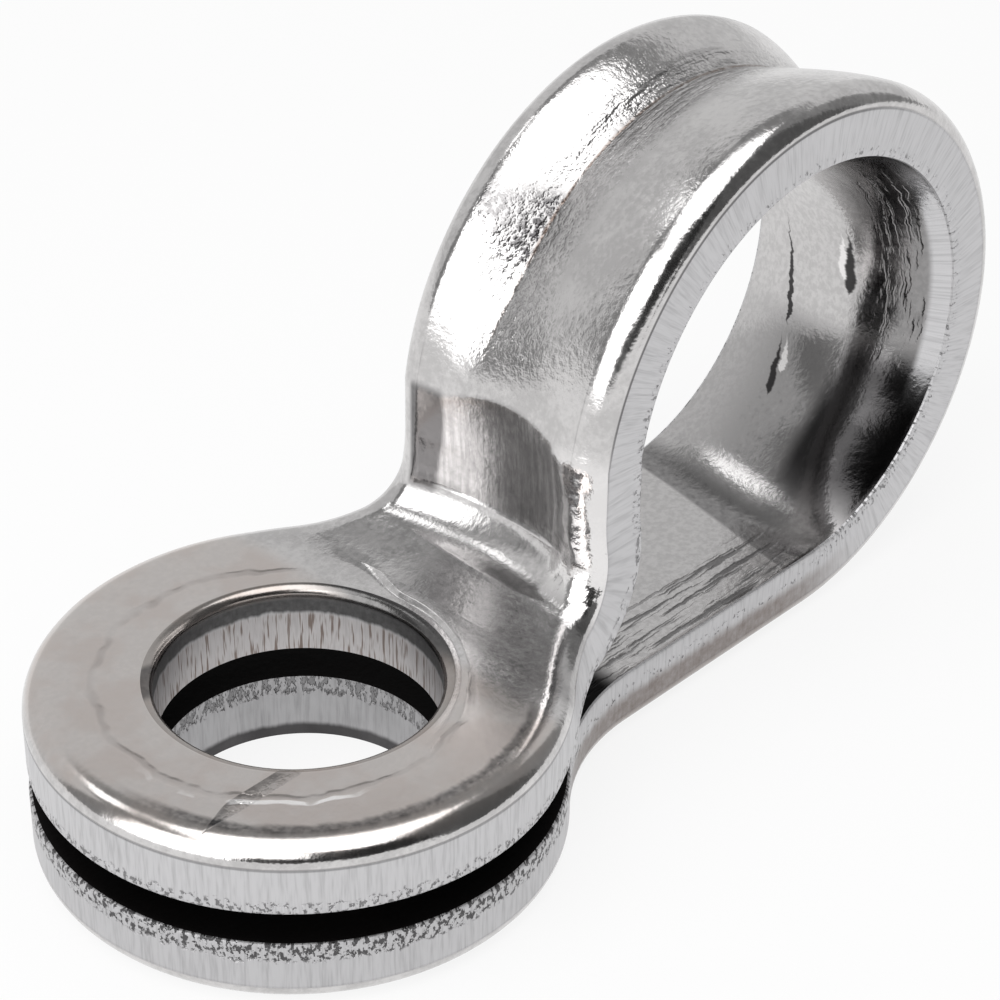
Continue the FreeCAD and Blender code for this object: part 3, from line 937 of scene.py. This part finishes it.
def view_frame(studio):
    """The camera's place and axes."""
    a, e = studio.azimuth, studio.elevation
    back = Vector((math.sin(a) * math.cos(e), -math.cos(a) * math.cos(e), math.sin(e)))
    right = Vector((math.cos(a), math.sin(a), 0.0))
    up = back.cross(right)
    c, s = math.cos(studio.roll), math.sin(studio.roll)
    level = right * c + up * s
    upright = up * c - right * s
    eye = Vector(studio.target) + back * studio.distance
    return eye, level, upright, back


def add_lamp(name, place, width, height, power):
    """A soft rectangular lamp at a place in millimetres, facing the part."""
    lamp = bpy.data.lights.new(name, "AREA")
    lamp.shape = "RECTANGLE"
    lamp.size = width * MM
    lamp.size_y = height * MM
    lamp.energy = power
    made = bpy.data.objects.new(name, lamp)
    made.location = Vector(place) * MM
    made.rotation_euler = (Vector(MIDDLE) * MM - made.location).to_track_quat("-Z", "Y").to_euler()
    bpy.context.scene.collection.objects.link(made)


def around(azimuth, height, distance):
    """A place in millimetres at a bearing and a height in degrees as seen from the part."""
    a, h = math.radians(azimuth), math.radians(height)
    away = (math.cos(a) * math.cos(h), math.sin(a) * math.cos(h), math.sin(h))
    return tuple(middle + distance * part for middle, part in zip(MIDDLE, away))


def add_flag(name, places, grey):
    """A grey flag through rows of places in millimetres, seen only by the metal's gloss."""
    work = bmesh.new()
    rows = [[work.verts.new(Vector(place) * MM) for place in row] for row in places]
    for low, high in zip(rows, rows[1:]):
        for number in range(len(low) - 1):
            work.faces.new((low[number], low[number + 1], high[number + 1], high[number]))
    flag = bpy.data.objects.new(name, bpy.data.meshes.new(name))
    work.to_mesh(flag.data)
    work.free()
    material = bpy.data.materials.new(name)
    material.use_nodes = True
    shader = Shader(material.node_tree)
    glow = shader.add("ShaderNodeEmission", None, {"Color": WHITE, "Strength": grey})
    shader.node("ShaderNodeOutputMaterial", None, {"Surface": glow})
    material.cycles.emission_sampling = "NONE"
    flag.data.materials.append(material)
    flag.visible_camera = False
    flag.visible_diffuse = False
    flag.visible_transmission = False
    flag.visible_volume_scatter = False
    flag.visible_shadow = False
    bpy.context.scene.collection.objects.link(flag)


def floor_material():
    """Pale floor that shows white to the camera and in reflections, and keeps the shadow."""
    material = bpy.data.materials.new("pale_floor")
    material.use_nodes = True
    shader = Shader(material.node_tree)
    rays = shader.node("ShaderNodeLightPath")
    seen = Signal(shader, rays.outputs["Is Camera Ray"])
    glossy = Signal(shader, rays.outputs["Is Glossy Ray"])
    through = Signal(shader, rays.outputs["Is Transmission Ray"])
    matt = shader.add("ShaderNodeBsdfDiffuse", None, {"Color": (0.8, 0.8, 0.8, 1.0)})
    glow = shader.add("ShaderNodeEmission", None, {"Color": WHITE, "Strength": 1.0})
    share = (seen + glossy + through).kept() * FLOOR_GLOW
    surface = shader.add("ShaderNodeMixShader", None, {0: share, 1: matt, 2: glow})
    shader.node("ShaderNodeOutputMaterial", None, {"Surface": surface})
    material.cycles.emission_sampling = "NONE"
    return material


class LACING_EYE_OT_stage(bpy.types.Operator):
    """Lay the pale floor, hang the lamps and set the camera"""

    bl_idname = "lacing_eye.stage"
    bl_label = "Stage"

    def execute(self, context):
        scene = context.scene
        studio = scene.lacing_eye_studio
        work = bmesh.new()
        bmesh.ops.create_grid(work, x_segments=1, y_segments=1, size=FLOOR_HALF)
        floor = bpy.data.objects.new("floor", bpy.data.meshes.new("floor"))
        work.to_mesh(floor.data)
        work.free()
        floor.data.materials.append(floor_material())
        floor.location = (0.0, 0.0, -FLOOR_DROP * MM)
        scene.collection.objects.link(floor)

        world = bpy.data.worlds.new("studio")
        world.use_nodes = True
        shader = Shader(world.node_tree)
        rays = shader.node("ShaderNodeLightPath")
        seen = Signal(shader, rays.outputs["Is Camera Ray"])
        glossy = Signal(shader, rays.outputs["Is Glossy Ray"])
        strength = (seen + glossy).kept() * (1.0 - WORLD_LIGHT) + WORLD_LIGHT
        glow = shader.add("ShaderNodeBackground", None, {"Color": WHITE, "Strength": strength})
        shader.node("ShaderNodeOutputWorld", None, {"Surface": glow})
        scene.world = world

        for name, azimuths, heights, reach, grey in FLAGS:
            rows = [[around(azimuth, height, reach) for azimuth in np.linspace(*azimuths, FLAG_COLUMNS)]
                    for height in np.linspace(*heights, FLAG_ROWS)]
            add_flag(name, rows, grey)
        for name, azimuth, height, width, tall, power in LAMPS:
            add_lamp(name, around(azimuth, height, LAMP_REACH), width, tall, power)

        camera = bpy.data.cameras.new("camera")
        camera.sensor_width = FRAME_WIDTH
        camera.lens = studio.lens
        camera.clip_start = 0.001
        camera.clip_end = 10.0
        viewer = bpy.data.objects.new("camera", camera)
        eye, level, upright, back = view_frame(studio)
        viewer.matrix_world = Matrix((
            (level.x, upright.x, back.x, eye.x),
            (level.y, upright.y, back.y, eye.y),
            (level.z, upright.z, back.z, eye.z),
            (0.0, 0.0, 0.0, 1.0),
        ))
        scene.collection.objects.link(viewer)
        scene.camera = viewer
        scene.view_settings.view_transform = "Standard"
        return {"FINISHED"}


# ---------------------------------------------------------------- the add-on


class LACING_EYE_PT_panel(bpy.types.Panel):
    """Sizes, finish and stage of the lacing eye"""

    bl_label = "Lacing eye"
    bl_space_type = "VIEW_3D"
    bl_region_type = "UI"
    bl_category = "Lacing eye"

    def draw(self, context):
        scene = context.scene
        for group in (scene.lacing_eye_sizes, scene.lacing_eye_finish, scene.lacing_eye_studio):
            box = self.layout.box()
            for name in group.bl_rna.properties.keys():
                if name not in ("rna_type", "name"):
                    box.prop(group, name)
        for operator in (LACING_EYE_OT_strip, LACING_EYE_OT_stage):
            self.layout.operator(operator.bl_idname)


CLASSES = (LacingEyeSizes, LacingEyeFinish, LacingEyeStudio, LACING_EYE_OT_strip, LACING_EYE_OT_stage,
           LACING_EYE_PT_panel)


def register():
    for item in CLASSES:
        bpy.utils.register_class(item)
    bpy.types.Scene.lacing_eye_sizes = bpy.props.PointerProperty(type=LacingEyeSizes)
    bpy.types.Scene.lacing_eye_finish = bpy.props.PointerProperty(type=LacingEyeFinish)
    bpy.types.Scene.lacing_eye_studio = bpy.props.PointerProperty(type=LacingEyeStudio)


def unregister():
    del bpy.types.Scene.lacing_eye_sizes
    del bpy.types.Scene.lacing_eye_finish
    del bpy.types.Scene.lacing_eye_studio
    for item in reversed(CLASSES):
        bpy.utils.unregister_class(item)


def main():
    register()
    bpy.ops.lacing_eye.strip()
    bpy.ops.lacing_eye.stage()


if __name__ == "__main__":
    main()
